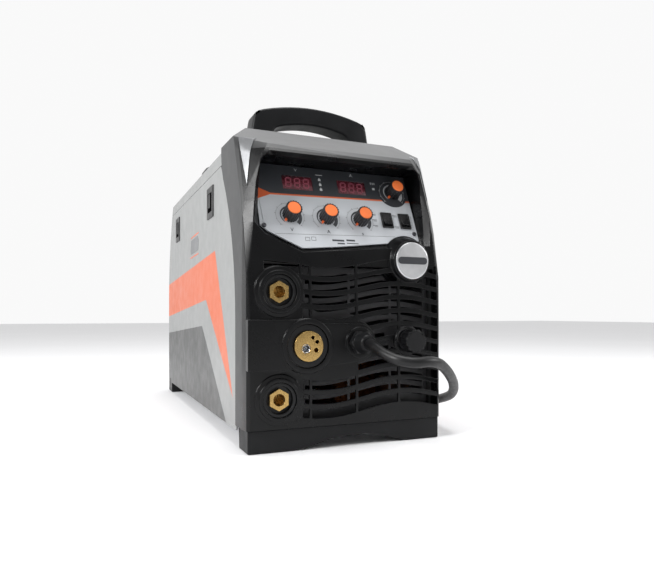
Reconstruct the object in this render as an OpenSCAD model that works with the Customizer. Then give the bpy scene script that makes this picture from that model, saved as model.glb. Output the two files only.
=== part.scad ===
// Portable inverter welding machine for wire, tungsten and stick work.
// Lengths are millimetres, angles are degrees. X runs left to right seen from the front, Y runs from the
// front to the back, and Z is up. Modules draw in the design frame, whose Y = 0 is the front face of the
// skirt; placed() moves each part so that the origin is the middle of the footprint.

/* [Case] */
// Width across the moulded front bezel
bezel_w = 246; // [244:1:248]
// Width across the painted sheet body
body_w = 243; // [241:1:244]
// Depth from the front face to the rear panel at floor level
body_d = 578; // [570:1:590]
// Height of the flat roof
roof_h = 366; // [364:1:368]
// Thickness of the painted sheet
sheet_t = 1.5; // [1.2:0.1:2]
// Wall thickness of the moulded plastic parts
wall_t = 3; // [2.5:0.5:3.5]
// Gap between neighbouring case parts
seam = 0.6; // [0.4:0.1:1]
// Height of the front and rear skirts
skirt_h = 25; // [24:1:26]

/* [Control panel] */
// Lean of the control panel from vertical
panel_tilt = 24; // [22:1:25]
// Thickness of the control panel
panel_t = 2; // [1.5:0.5:2]
// Radius of a control knob
knob_r = 9.5; // [9:0.25:10]
// Length of a control knob
knob_len = 16; // [14:1:17]
// Turning range of a control knob
knob_turn = 300; // [270:5:300]
// Radius of a control shaft
shaft_r = 3; // [3:0.5:3]
// Width of a rocker switch
rocker_w = 15; // [15:0.5:16]
// Height of a rocker switch
rocker_h = 21; // [21:0.5:22]

/* [Sockets] */
// Radius of the bore that takes a welding lead's plug
socket_bore_r = 6.6; // [6.5:0.05:6.7]
// Depth of that bore
socket_bore_d = 28; // [26:1:30]
// Radius of the torch connector's brass body
torch_r = 16.75; // [16.5:0.25:17]
// Radius of the polarity lead
lead_r = 5.75; // [5.5:0.25:6]

/* [Wire feed] */
// Radius of the drive roll
drive_r = 15; // [14:0.5:16]
// Radius of the pressure roll
pressure_r = 11; // [10:0.5:12]
// Radius of the spool hub sleeve, which takes the spool's bore
hub_r = 25; // [24.5:0.5:25]

/* [Hidden] */

$fn = 48;
SIDES = [-1, 1];
half_bezel = bezel_w / 2;
half_body = body_w / 2;
half_skirt = 120;
front_most = -34;          // nose of the lead gland
rear_most = 606;           // end of the mains gland
mid_y = (front_most + rear_most) / 2;
EPS = 0.01;

// ---- curved edges of the case, seen from the side -------------------------------------------------
seam_y = 42;               // rear edge of the bezel below the flare
flare_z = 144;             // height at which the bezel starts to flare back
flare_r = 274;
flare_top_z = 316;
rear_bend_z = 180;         // height at which the rear starts to lean forward
rear_bend_r = 300;
hood_y = 113;              // rear edge of the hood
hood_h = 375;

function flare_edge(z) = seam_y + flare_r - sqrt(flare_r * flare_r - pow(z - flare_z, 2));
function rear_edge(z) = body_d - (z < rear_bend_z ? 0
    : rear_bend_r - sqrt(rear_bend_r * rear_bend_r - pow(z - rear_bend_z, 2)));
function flare_points(gap) = [for (i = [0:8]) let (z = flare_z + i * (flare_top_z - flare_z) / 8)
    [flare_edge(z) + gap, z]];
function rear_points(gap, top) = [for (i = [0:7]) let (z = top - i * (top - rear_bend_z) / 7)
    [rear_edge(z) + gap, z]];

// ---- control panel's own frame: x across, v up the slope, w out of its face -------------------------
panel_y = 17;
panel_z = 249;
panel_half = 101.5;
panel_top_v = 87;
function on_panel(x, v, w) = [x, panel_y + v * sin(panel_tilt) - w * cos(panel_tilt),
    panel_z + v * cos(panel_tilt) + w * sin(panel_tilt)];
KNOBS = [[-64, 15], [-19, 15], [25, 15], [78, 58.5]];
ROCKERS = [[61.7, 17.5], [86.4, 17.5]];
DISPLAYS = [[-48, 62], [22.7, 62]];
display_size = [37.6, 19.2];
PANEL_SCREWS = [[-96.5, 0.5], [96.5, 0.5]];
// lower outline of the panel, left to right
LOWER_EDGE = [[-93, -7], [-54.5, -27], [-8.5, -23], [45, -16.5]];

// ---- sockets and bosses on the front face: [x, z] ----------------------------------------------------
front_face_y = -3;
OUTPUTS = [[-85.5, 174.8], [-85.5, 57.3]];
TORCH = [-54.4, 115.4];
LINER = [-3.4, -2.6];       // liner bore, off the torch connector's centre
GLAND = [8.5, 118.5];
REMOTE = [75, 119];
BADGE = [79.6, 214];
badge_boss_r = 31;
block_low_z = 90;
block_high_z = 144.5;
block_y = -9;

// ---- polarity lead's route, from the gland round the right side to its plug on the floor ----------
LEAD = [
    [8.5, -34, 118.5], [8.5, -48, 114.5], [11, -64, 108.5], [19, -79, 103], [33, -88, 100.5],
    [50, -88, 101], [67, -81, 98], [85, -68, 89.5], [103, -51, 79.5], [119, -33, 70], [133, -14, 60],
    [144, 7, 50.5], [152, 30, 43.5], [157, 55, 37], [160, 82, 29], [162, 110, 20.5], [163, 138, 13],
    [163, 166, 8.5], [163, 194, 7], [163, 222, 10], [163, 250, 15]
];
lead_sides = 10;
plug_y = LEAD[len(LEAD) - 1][1];

// ---- wire feed and inside -----------------------------------------------------------------------------
divider_x = -12;           // left face of the divider sheet
feed_y = 190;              // drive roll's place along the wire
wire_gap = 0.8;
WIRE = TORCH + LINER;      // the wire's line through the feeder, [x, z]
drive_z = WIRE[1] - wire_gap / 2 - drive_r;
pressure_z = WIRE[1] + wire_gap / 2 + pressure_r;
arm_pivot = [feed_y + 34, 148];
spool_y = 400;
spool_z = 190;
fan_c = [62, 112];         // fan centre, [x, z]
fan_y = 540;
door_low_z = 19;
door_high_z = 336;
hinge = [-117.5, 21.5];    // door hinge axis, [x, z]
hinge_pin_r = 1.2;
hinge_r = 2.2;
HINGE_Y = [120, 460];
hinge_len = 50;
LATCH_Y = [163, 443];
latch_d = 38;
latch_low_z = 280;
latch_high_z = 322;
running = 0.05;            // radial clearance of a shaft in its bearing

// ==== helpers ============================================================================================
module placed() translate([0, -mid_y, 0]) children();
// a cylinder along Y, from y0 to y1
module rod_y(x, z, r, y0, y1) translate([x, y0, z]) rotate([-90, 0, 0]) cylinder(r = r, h = y1 - y0);
// a cylinder along X, from x0 to x1
module rod_x(y, z, r, x0, x1) translate([x0, y, z]) rotate([0, 90, 0]) cylinder(r = r, h = x1 - x0);
// a box from one corner to the other
module block(a, b) translate(a) cube(b - a);
// a flat shape drawn in (x, z), made into a plate from y0 to y1
module plate_xz(y0, y1) translate([0, y1, 0]) rotate([90, 0, 0]) linear_extrude(y1 - y0) children();
// a flat shape drawn in (y, z), made into a plate from x0 to x1
module plate_yz(x0, x1) translate([x0, 0, 0]) rotate([90, 0, 90]) linear_extrude(x1 - x0) children();
// draws in the panel's frame: X across, Y up the slope, Z out of its face
module on_panel_face(x, v, w) translate(on_panel(x, v, w)) rotate([90 - panel_tilt, 0, 0]) children();
// the convex body round a list of points
module wrap(points) hull() polyhedron(points, [[for (i = [0:len(points) - 1]) i]]);
// a ring
module ring(r_out, r_in) difference() { circle(r_out); circle(r_in); }
// a rectangle with round corners, centred
module round_rect(w, h, r) hull() for (i = SIDES, j = SIDES)
    translate([i * (w / 2 - r), j * (h / 2 - r)]) circle(r, $fn = 24);

// ==== front moulding =====================================================================================
// outer points of the bezel on one side, moved in by s
function envelope_side(side, s) = [for (p = [
        [118, -3, 25, -1], [121.3, 0, 25, -1], [half_bezel, 18, 25, -1], [half_bezel, 125, 25, -1],
        [118, -3, 143, 0], [121.3, 0, 143, 0], [117, -1, 190, 0], [121.5, 1, 195, 0],
        [half_bezel, 17, 166, 0], [113, 3, 250, 0], [121.8, 12, 250, 0], [111, 6, 272, 0],
        [122, 19.5, 274, 0], [122.2, 28, 297, 0], [102, 12.5, 322, 0.5], [91, 13, 332, 1],
        [91.5, 20, 342, 1], [122.4, 43.5, 338, 0.5], [half_bezel, 52, 355, 1], [101, 80, hood_h, 1],
        [101, 125, hood_h, 1], [half_bezel, 125, 357, 1]])
    [side * (p[0] - s), p[1] + s, p[2] - s * p[3]]];
module envelope(s) wrap(concat(envelope_side(-1, s), envelope_side(1, s)));

// side view of the whole bezel, back to the flared seam
module bezel_side() polygon(concat(
    [[-20, skirt_h], [seam_y, skirt_h]], flare_points(0),
    [[hood_y - 3, 332], [hood_y, 348], [hood_y - 2, hood_h + 1], [-20, hood_h + 1]]));

// outline points of the recess floor, moved out by g
function floor_points(g) = concat(
    [for (p = LOWER_EDGE) [p[0], p[1] - g]],
    [[panel_half + g, -10 - g], [panel_half + g, panel_top_v + g], [-panel_half - g, panel_top_v + g],
        [-panel_half - g, 0.5 - g]]);
// outline of the recess mouth in (x, z), moved out by g, with its sides and top moved in by t
function mouth_points(g, t) = [
    [-56, 219.5 - g], [-8, 223.5 - g], [47, 230 - g], [110 + g - t, 233 - g], [111 + g - t, 250],
    [110.5 + g - t, 272], [108.7 + g - t, 297], [102 + g - t, 322 - t * 0.4],
    [91 + g - t, 332 + (g - t) * 0.7], [-91 - g + t, 332 + (g - t) * 0.7], [-102 - g + t, 322 - t * 0.4],
    [-108.7 - g + t, 297], [-110.5 - g + t, 272], [-111 - g + t, 250], [-100 - g + t * 0.4, 238 - g]];
function mouth_y(z) = 13 * (z - 215) / 117;
lip_w = 5.5;               // bevelled lip round the mouth, across and deep
lip_depth = 6;
module recess(g, floor_w) {
    wrap(concat([for (p = floor_points(g)) on_panel(p[0], p[1], floor_w)],
        [for (p = mouth_points(g, lip_w), y = [-25, mouth_y(p[1]) + lip_depth]) [p[0], y, p[1]]]));
    wrap(concat([for (p = mouth_points(g, 0), y = [-25, mouth_y(p[1])]) [p[0], y, p[1]]],
        [for (p = mouth_points(g, lip_w)) [p[0], mouth_y(p[1]) + lip_depth, p[1]]]));
}
module panel_outline(g) difference() {
    polygon(floor_points(g));
    translate([BADGE[0], (BADGE[1] - panel_z) / cos(panel_tilt)])
        scale([1, 1 / cos(panel_tilt)]) circle(badge_boss_r - g + 0.4);
}

// louvres: wavy slots in rows, split by upright ribs
slot_h = 10;
slot_pitch = 15.85;
slot_first_z = 34.8;
CELLS = [[-58, -50], [-47, 7], [10, 62.3], [65.3, 117]];
function wave(x) = 5.8 + 6.7 * sin((x - 18.5) / 97 * 180);
function slot_edge(x0, x1, z) = [for (i = [0:6]) let (x = x0 + i * (x1 - x0) / 6) [x, z + wave(x)]];
module slot(x0, x1, z) polygon(concat(
    slot_edge(x0, x1, z), [for (i = [6:-1:0]) slot_edge(x0, x1, z + slot_h)[i]]));
module louvres() difference() {
    for (row = [0:10], cell = CELLS) let (z = slot_first_z + row * slot_pitch)
        if (z < block_low_z - 18 || z > block_high_z - 5 || cell[0] > 5) slot(cell[0], cell[1], z);
    translate(BADGE) circle(27);
    translate(REMOTE) circle(18);
    translate(GLAND) circle(24);
    for (p = OUTPUTS) translate(p) circle(29);
}
module top_left_slot() difference() {
    polygon([[-102, 198], [-61, 195], [-61, 206], [-102, 209]]);
    translate(OUTPUTS[0]) circle(29);
}
// the raised block that carries the torch socket and the gland
module torch_block() union() {
    translate([-half_bezel + 1, block_low_z]) square([60, block_high_z - block_low_z]);
    translate(TORCH) circle(31);
    hull() {
        translate(TORCH) circle(26);
        translate(GLAND) circle(21);
    }
}

// tapered boss that the badge sits on
module badge_boss() {
    translate([BADGE[0], -5.5, BADGE[1]]) rotate([-90, 0, 0]) cylinder(r1 = 24, r2 = badge_boss_r, h = 17.5);
    rod_y(BADGE[0], BADGE[1], badge_boss_r, 11.9, chassis_y - 0.1);
}
module front_bezel() color([0.09, 0.09, 0.1]) placed() difference() {
    intersection() {
        union() {
            intersection() {
                envelope(0);
                union() {
                    difference() {
                        block([-130, -20, 0], [130, 140, 400]);
                        envelope(wall_t);
                    }
                    recess(wall_t, -panel_t - wall_t);
                }
            }
            badge_boss();
            plate_xz(block_y, 0) torch_block();
            for (p = OUTPUTS) {
                rod_y(p[0], p[1], 23.5, -7, 0);
                rod_y(p[0], p[1], 28, -4.5, 0);
            }
            rod_y(TORCH[0], TORCH[1], 30, -11, 0);
            rod_y(REMOTE[0], REMOTE[1], 17, -5, 0);
            rod_y(GLAND[0], GLAND[1], 17.5, -12, 0);
        }
        plate_yz(-half_bezel, half_bezel) bezel_side();
    }
    difference() {
        recess(0, -panel_t);
        badge_boss();
    }
    on_panel_face(0, 0, -panel_t - 10) linear_extrude(12) difference() {
        panel_outline(-5);
        for (p = PANEL_SCREWS) translate(p) circle(6);
    }
    for (p = PANEL_SCREWS) on_panel_face(p[0], p[1], -10) cylinder(r = 1.5, h = 12, $fn = 24);
    rod_y(BADGE[0], BADGE[1], badge_boss_r - 5, 4, 40);
    rod_y(BADGE[0], BADGE[1], 22.4, -6, -3);
    plate_xz(-8, 3) louvres();
    plate_xz(-8, 3) top_left_slot();
    for (p = OUTPUTS) rod_y(p[0], p[1], 19.3, -20, 5);
    rod_y(TORCH[0], TORCH[1], 24.3, -20, 5);
    rod_y(GLAND[0], GLAND[1], 9.2, -20, 5);
    rod_y(REMOTE[0], REMOTE[1], 9.7, -20, 5);
}

module front_skirt() color([0.08, 0.08, 0.09]) placed() difference() {
    block([-half_skirt, 0, 0], [half_skirt, 36, skirt_h - EPS]);
    // the arch between the two feet
    plate_xz(-1, 37) polygon([[-68, -1], [-68, 0], [-52, 2], [-36, 6], [-20, 10], [0, 11.5], [22, 11.5],
        [42, 8], [58, 4], [76, 0], [76, -1]]);
    // seat of the base pan
    block([-half_skirt + 1, 4, 20], [half_skirt - 1, 37, skirt_h]);
}

// silver wedges that lie on the upper corners of the bezel
INLAY = [[117.6, 46.1, 352.2], [99.8, 36.3, 350], [115.5, 18.1, 292]];
module corner_inlays() color([0.75, 0.76, 0.77]) placed() for (side = SIDES) intersection() {
    difference() {
        envelope(-0.6);
        envelope(0);
    }
    wrap([for (p = INLAY, d = [-7, 7]) [side * (p[0] + d * 0.65), p[1] - d * 0.65, p[2] + d * 0.4]]);
}

module control_panel() color([0.8, 0.81, 0.82]) placed() difference() {
    on_panel_face(0, 0, -panel_t) linear_extrude(panel_t) difference() {
        intersection() {
            polygon(floor_points(-0.4));
            translate([-150, -50]) square([300, 50 + panel_top_v - 1.6]);
        }
        for (p = KNOBS) translate(p) circle(4.7);
        for (p = ROCKERS) translate(p) square([rocker_w - 1.6, rocker_h - 1.6], center = true);
        for (p = DISPLAYS) translate(p) square(display_size + [0.4, 0.4], center = true);
        for (p = PANEL_SCREWS) translate(p) circle(1.8);
    }
    rod_y(BADGE[0], BADGE[1], badge_boss_r + 0.4, -20, 60);
}

module meter_displays() color([0.35, 0.04, 0.06]) placed() for (p = DISPLAYS)
    on_panel_face(p[0], p[1], -7.5) linear_extrude(7) square(display_size, center = true);

// circuit board behind the panel, with the four potentiometers soldered to it
module control_board() color([0.1, 0.35, 0.2]) placed() {
    difference() {
        on_panel_face(0, 24, -16) linear_extrude(1.6) square([184, 80], center = true);
        for (p = KNOBS) on_panel_face(p[0], p[1], -17) cylinder(r = 8.7, h = 4);
        for (p = ROCKERS) on_panel_face(p[0], p[1], -17) linear_extrude(4)
            square([rocker_w + 3, rocker_h + 3], center = true);
    }
    for (p = KNOBS) on_panel_face(p[0], p[1], 0) difference() {
        union() {
            translate([0, 0, -17]) cylinder(r = 8.4, h = 9);
            translate([0, 0, -8.5]) cylinder(r = 4.5, h = 8.7);
        }
        translate([0, 0, -14]) cylinder(r = shaft_r + running, h = 20);
    }
}

// one pan-head screw, its head outwards along +Z
module screw(r, length) {
    translate([0, 0, -length]) cylinder(r = r, h = length);
    difference() {
        cylinder(r1 = r * 2, r2 = r * 1.5, h = r * 1.1);
        for (turn = [0, 90]) rotate([0, 0, turn]) translate([-r, -0.4, r * 0.5]) cube([2 * r, 0.8, r]);
    }
}
module case_screws() color([0.3, 0.3, 0.32]) placed() {
    for (p = PANEL_SCREWS) on_panel_face(p[0], p[1], 0.05) screw(1.45, 7);
    for (y = HANDLE_Y, side = SIDES, dy = [-8, 8])
        translate([side * 70, y + dy, roof_h - sheet_t - 0.05]) rotate([180, 0, 0]) screw(1.9, 12);
    for (y = [150, 330, 510], z = [45, 300])
        if (y < 400 || z < 200) translate([half_body + 0.05, y, z]) rotate([0, 90, 0]) screw(1.3, 5);
    for (side = SIDES, z = [45, 165]) translate([side * 108, body_d + 0.05, z]) rotate([-90, 0, 0]) screw(2, 5);
}

// ==== knobs and rockers ==================================================================================
// a fluted knob with its shaft; the orange pointer side faces the lower left at rest
module knob(p) color([0.07, 0.07, 0.08]) placed() on_panel_face(p[0], p[1], 0) {
    difference() {
        translate([0, 0, 1]) linear_extrude(knob_len) difference() {
            circle(knob_r);
            for (i = [0:17]) rotate(i * 20) translate([knob_r + 0.5, 0]) circle(1.2, $fn = 16);
        }
        translate([0, 0, -1]) cylinder(r = shaft_r + 0.02, h = 13);
        translate([0, 0, knob_len - 0.2]) cylinder(r = 7.9, h = 5);
    }
    translate([0, 0, -13.5]) cylinder(r = shaft_r, h = 25);
}
module knob_cap(p) color([0.95, 0.4, 0.12]) placed() on_panel_face(p[0], p[1], knob_len - 0.15)
    cylinder(r1 = 7.85, r2 = 7.4, h = 1.7);
module voltage_knob() knob(KNOBS[0]);
module inductance_knob() knob(KNOBS[1]);
module wire_speed_knob() knob(KNOBS[2]);
module current_knob() knob(KNOBS[3]);
module voltage_knob_cap() knob_cap(KNOBS[0]);
module inductance_knob_cap() knob_cap(KNOBS[1]);
module wire_speed_knob_cap() knob_cap(KNOBS[2]);
module current_knob_cap() knob_cap(KNOBS[3]);

rocker_axis_w = -2;        // the rocker's pivot lies this far behind the panel's face
module rocker_frames() color([0.05, 0.05, 0.06]) placed() for (p = ROCKERS) on_panel_face(p[0], p[1], 0)
    difference() {
        union() {
            translate([0, 0, 0.05]) linear_extrude(2) square([rocker_w, rocker_h], center = true);
            translate([0, 0, -14]) linear_extrude(14.1) square([rocker_w - 2, rocker_h - 2], center = true);
        }
        translate([0, 0, -10]) linear_extrude(14) square([rocker_w - 4, rocker_h - 4], center = true);
        translate([-rocker_w, 0, rocker_axis_w]) rotate([0, 90, 0]) cylinder(r = 1.25, h = 2 * rocker_w);
    }
// the rocker's face is a shallow V; its top half is pressed in at rest
rocker_tip = 9;
module rocker(p) color([0.06, 0.06, 0.07]) placed() on_panel_face(p[0], p[1], rocker_axis_w) {
    rotate([-rocker_tip, 0, 0]) rotate([90, 0, 90]) translate([0, 0, -rocker_w / 2 + 2.4])
        linear_extrude(rocker_w - 4.8)
            polygon([[-7.6, 5.6], [0, 4.2], [7.6, 5.6], [7.6, 2], [3, -4], [-3, -4], [-7.6, 2]]);
    translate([-rocker_w / 2 + 1.1, 0, 0]) rotate([0, 90, 0]) cylinder(r = 1.2, h = rocker_w - 2.2);
}
module trigger_rocker() rocker(ROCKERS[0]);
module process_rocker() rocker(ROCKERS[1]);

// ==== front fittings =====================================================================================
module badge() color([0.8, 0.8, 0.8]) placed() translate([BADGE[0], -3.2, BADGE[1]]) rotate([90, 0, 0]) {
    cylinder(r = 22, h = 3.6);
    translate([0, 0, 3.6]) cylinder(r1 = 22, r2 = 20.8, h = 0.8);
}

module output_socket_bodies() color([0.06, 0.06, 0.07]) placed() for (p = OUTPUTS)
    translate([p[0], 0, p[1]]) difference() {
        union() {
            rod_y(0, 0, 19, -5, 12);
            rod_y(0, 0, 23, 3, 8);
        }
        rod_y(0, 0, 15.5, -6, 1);
        rod_y(0, 0, 10.4, -6, 13);
    }
module output_socket_contacts() color([0.72, 0.55, 0.25]) placed() for (p = OUTPUTS)
    translate([p[0], 0, p[1]]) difference() {
        union() {
            translate([0, 0.95, 0]) rotate([90, 30, 0]) cylinder(r = 12.3, h = 4.5, $fn = 6);
            rod_y(0, 0, 10.3, 1, 30);
            rod_y(0, 0, 5, 30, 42);
        }
        rod_y(0, 0, socket_bore_r, -6, socket_bore_d - 3.55);
    }
module torch_socket_flange() color([0.07, 0.07, 0.08]) placed() translate([TORCH[0], 0, TORCH[1]])
    difference() {
        union() {
            rod_y(0, 0, 24, -9, 14);
            rod_y(0, 0, 29, 3.05, 8);
        }
        rod_y(0, 0, torch_r + 0.05, -12, 16);
    }
TORCH_HOLES = [[4.5, 9.5, 2.1], [9.6, 4.6, 2.3], [8.4, -4.4, 2.6]];
module torch_socket_body() color([0.78, 0.6, 0.28]) placed() translate([TORCH[0], 0, TORCH[1]])
    difference() {
        union() {
            rod_y(0, 0, torch_r, -13, 60);
            rod_y(0, 0, 11, 60, 112);
        }
        rod_y(LINER[0], LINER[1], 5.6, -14, 113);
        for (h = TORCH_HOLES) rod_y(h[0], h[1], h[2], -14, 8);
    }
module torch_socket_liner() color([0.75, 0.76, 0.78]) placed()
    translate([WIRE[0], 0, WIRE[1]]) difference() {
        rod_y(0, 0, 5.55, -12, 116);
        rod_y(0, 0, 4, -13, -2);
        rod_y(0, 0, 1.2, -3, 117);
    }
module lead_gland() color([0.08, 0.08, 0.09]) placed() translate([GLAND[0], 0, GLAND[1]]) union() {
    rod_y(0, 0, 9, -12, 9);
    translate([0, -12.05, 0]) rotate([90, 0, 0]) cylinder(r = 14.5, h = 7, $fn = 6);
    translate([0, -19, 0]) rotate([90, 0, 0]) cylinder(r1 = 12.2, r2 = 9.2, h = 13);
    rod_y(0, 0, 8.4, front_most, -30);
    rod_y(0, 0, 13, 3.05, 8);
}
module remote_socket() color([0.12, 0.12, 0.13]) placed() translate([REMOTE[0], 0, REMOTE[1]])
    difference() {
        union() {
            rod_y(0, 0, 9.5, -18, 14);
            rod_y(0, 0, 13, -8, -5.05);
            rod_y(0, 0, 12.5, 3.05, 7);
            // eyelet that holds the cap's tether
            translate([-15, -5.1, -2]) rotate([90, 0, 0]) cylinder(r = 3.2, h = 1.8);
        }
        rod_y(0, 0, 7.5, -19, 10);
    }
module remote_socket_cap() color([0.07, 0.07, 0.08]) placed() translate([REMOTE[0], 0, REMOTE[1]])
    difference() {
        union() {
            translate([0, -8.3, 0]) rotate([90, 0, 0]) linear_extrude(15) difference() {
                circle(13.8);
                for (i = [0:11]) rotate(i * 30) translate([14.9, 0]) circle(2.4, $fn = 16);
            }
        }
        rod_y(0, 0, 9.6, -20, -8);
    }
// soft strap from the eyelet up and over to the cap's neck
TETHER = [[-15, -7, -1], [-16.8, -9, 3], [-16.8, -10.5, 8], [-14.4, -11.5, 12], [-10.6, -12.5, 13.6],
    [-7, -14, 13.8]];
module cap_tether() color([0.1, 0.1, 0.11]) placed() translate([REMOTE[0], 0, REMOTE[1]]) union() {
    sweep(TETHER, 1.1, 8);
}

// ==== polarity lead ======================================================================================
function along(route, i) = let (a = route[max(i - 1, 0)], b = route[min(i + 1, len(route) - 1)])
    (b - a) / norm(b - a);
function ring_points(route, i, r, sides) = let (
        t = i == 0 ? unit(route[1] - route[0], 1) : along(route, i),
        side = unit(cross(t, [0, 0, 1]), 0),
        up = cross(side, t))
    [for (k = [0:sides - 1]) route[i] + r * (cos(k * 360 / sides) * side + sin(k * 360 / sides) * up)];
function unit(v, i) = v / norm(v);
module sweep(route, r, sides) polyhedron(
    [for (i = [0:len(route) - 1]) each ring_points(route, i, r, sides)],
    concat([[for (k = [0:sides - 1]) k]],
        [for (i = [0:len(route) - 2], k = [0:sides - 1])
            [i * sides + k, (i + 1) * sides + k, (i + 1) * sides + (k + 1) % sides,
                i * sides + (k + 1) % sides]],
        [[for (k = [sides - 1:-1:0]) (len(route) - 1) * sides + k]]));
module polarity_lead() color([0.06, 0.06, 0.06]) placed() sweep(LEAD, lead_r, lead_sides);
PLUG = [LEAD[len(LEAD) - 1][0], LEAD[len(LEAD) - 1][2]];
module lead_plug_sleeve() color([0.07, 0.07, 0.08]) placed() translate([PLUG[0], plug_y, PLUG[1]])
    difference() {
        rotate([-90, 0, 0]) {
            cylinder(r1 = 9.5, r2 = 13.5, h = 18);
            translate([0, 0, 18]) linear_extrude(48) difference() {
                circle(14.5);
                for (i = [0:9]) rotate(i * 36) translate([15.8, 0]) circle(2, $fn = 16);
            }
        }
        rod_y(0, 0, 8, 30, 67);
    }
module lead_plug_pin() color([0.72, 0.55, 0.25]) placed() translate([PLUG[0], plug_y, PLUG[1]]) {
    rod_y(0, 0, 7.95, 40, 66);
    rod_y(0, 0, 6.5, 66, 94);
}

// ==== sheet case =========================================================================================
// side view of the sheet body between two heights
module body_side(low, high, gap) polygon(concat(
    [[seam_y + gap, low]],
    high > flare_z ? [for (p = flare_points(gap)) if (p[1] < high) p] : [],
    high > 340 ? [[hood_y - 3 + gap, 332], [hood_y + gap, 348], [hood_y + gap, high]]
        : [[flare_edge(high) + gap, high]],
    rear_points(-gap, high), [[body_d - gap, low]]));
// cross-section of the roof, moved in by s
module roof_section(s, low) polygon([[-half_body + s, low], [-half_body + s, 352 - s * 0.4],
    [-103 + s * 0.4, roof_h - s], [103 - s * 0.4, roof_h - s], [half_body - s, 352 - s * 0.4],
    [half_body - s, low]]);
module roof_cover() color([0.5, 0.5, 0.51]) placed() difference() {
    intersection() {
        translate([0, 600, 0]) rotate([90, 0, 0]) linear_extrude(550) difference() {
            roof_section(0, door_high_z + seam);
            roof_section(sheet_t, door_high_z - 1);
        }
        plate_yz(-half_body - 1, half_body + 1) body_side(door_high_z, roof_h + 1, seam);
    }
    for (y = HANDLE_Y, side = SIDES, dy = [-8, 8])
        translate([side * 70, y + dy, roof_h - 10]) cylinder(r = 2.1, h = 20);
}
module right_side_panel() color([0.5, 0.5, 0.51]) placed() difference() {
    plate_yz(half_body - sheet_t, half_body) body_side(door_low_z, door_high_z, seam);
    // rear corner, where the skirt comes up the side
    block([half_body - 5, 548, 0], [half_body + 5, 600, skirt_h + 1]);
    // cooling slots
    for (i = [0:9]) let (y = 300 + i * 20) {
        block([half_body - 5, y - 4, 50], [half_body + 5, y + 4, 130]);
        for (z = [50, 130]) rod_x(y, z, 4, half_body - 5, half_body + 5);
    }
    for (y = [150, 330, 510], z = [45, 300])
        if (y < 400 || z < 200) rod_x(y, z, 1.4, half_body - 5, half_body + 5);
}

module latch_window(y, g) translate([y - g, latch_low_z - g])
    square([latch_d + 2 * g, latch_high_z - latch_low_z + 2 * g]);
module side_door() color([0.52, 0.52, 0.53]) placed() {
    difference() {
        plate_yz(-half_body, -half_body + sheet_t) difference() {
            body_side(door_low_z, door_high_z, seam);
            for (y = LATCH_Y) latch_window(y, -3);
            translate([548, 0]) square([50, skirt_h + 1]);
        }
    }
    // hinge knuckles inside the lower edge
    for (y = HINGE_Y) difference() {
        union() {
            rod_y(hinge[0], hinge[1], hinge_r, y, y + hinge_len);
            block([-half_body + 0.2, y, hinge[1] - 1], [hinge[0], y + hinge_len, hinge[1] + 1]);
        }
        rod_y(hinge[0], hinge[1], hinge_pin_r + running, y - 1, y + hinge_len + 1);
    }
}
module latch_frames() color([0.05, 0.05, 0.06]) placed() for (y = LATCH_Y) difference() {
    union() {
        plate_yz(-half_body - 1.4, -half_body - 0.05) latch_window(y, 0);
        plate_yz(-half_body - 1, -half_body + 7) latch_window(y, -3.3);
    }
    // finger pocket, open to the front
    plate_yz(-half_body - 3, -half_body + 5.5)
        translate([y + 7, latch_low_z + 8]) square([25, latch_high_z - latch_low_z - 16]);
}
// the sliding finger piece of a latch, held up by its spring
module latch(y) color([0.07, 0.07, 0.08]) placed()
    plate_yz(-half_body - 1, -half_body + 5.2)
        translate([y + 20.5, latch_low_z + 14.7]) square([11, 19]);
module front_latch() latch(LATCH_Y[0]);
module rear_latch() latch(LATCH_Y[1]);

module base_pan() color([0.3, 0.3, 0.31]) placed() difference() {
    union() {
        block([-half_body + 6.6, 6, 20], [half_body - 3.5, 574, 20 + sheet_t]);
        block([half_body - 3.2 - sheet_t, 60, 20], [half_body - 3.2, 540, 62]);
        // ears and welded pins that carry the door
        for (y = HINGE_Y) {
            rod_y(hinge[0], hinge[1], hinge_pin_r, y - 12, y + hinge_len + 12);
            for (end = [-12, hinge_len + 1]) {
                rod_y(hinge[0], hinge[1], hinge_r, y + end, y + end + 11);
                block([hinge[0], y + end, hinge[1] - 1.3], [-half_body + 12, y + end + 11, hinge[1] + 1.3]);
            }
        }
    }
    for (y = [150, 330, 510]) rod_x(y, 45, 1.35, half_body - 6, half_body);
    // air inlet in the floor
    for (i = [0:5]) block([20 + i * 14, 230, 19], [27 + i * 14, 300, 23]);
}

// ==== handles ============================================================================================
HANDLE_Y = [131, 448];
// front view of a handle: a bar on two legs that spread towards the roof
handle_end = [[72.5, 412.6], [76.5, 410], [79, 406.5], [80.2, 402], [86, roof_h + 0.05]];
grip_end = [[49, 392.5], [51.5, 390], [54, 385], [60, 365]];
module handle_outline() difference() {
    polygon(concat([for (i = [4:-1:0]) [-handle_end[i][0], handle_end[i][1]]],
        [for (x = [-66:12:66]) [x, 424 - 9 * pow(x / 66, 2)]], handle_end));
    polygon(concat([for (i = [3:-1:0]) [-grip_end[i][0], grip_end[i][1]]],
        [for (x = [-45:9:45]) [x, 401 - 6.5 * pow(x / 45, 2)]], grip_end));
}
module handle(y) color([0.07, 0.07, 0.08]) placed() difference() {
    plate_xz(y - 16, y + 16) handle_outline();
    for (side = SIDES, dy = [-8, 8]) translate([side * 70, y + dy, 360]) cylinder(r = 1.95, h = 18);
}
module front_handle() handle(HANDLE_Y[0]);
module rear_handle() handle(HANDLE_Y[1]);

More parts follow.
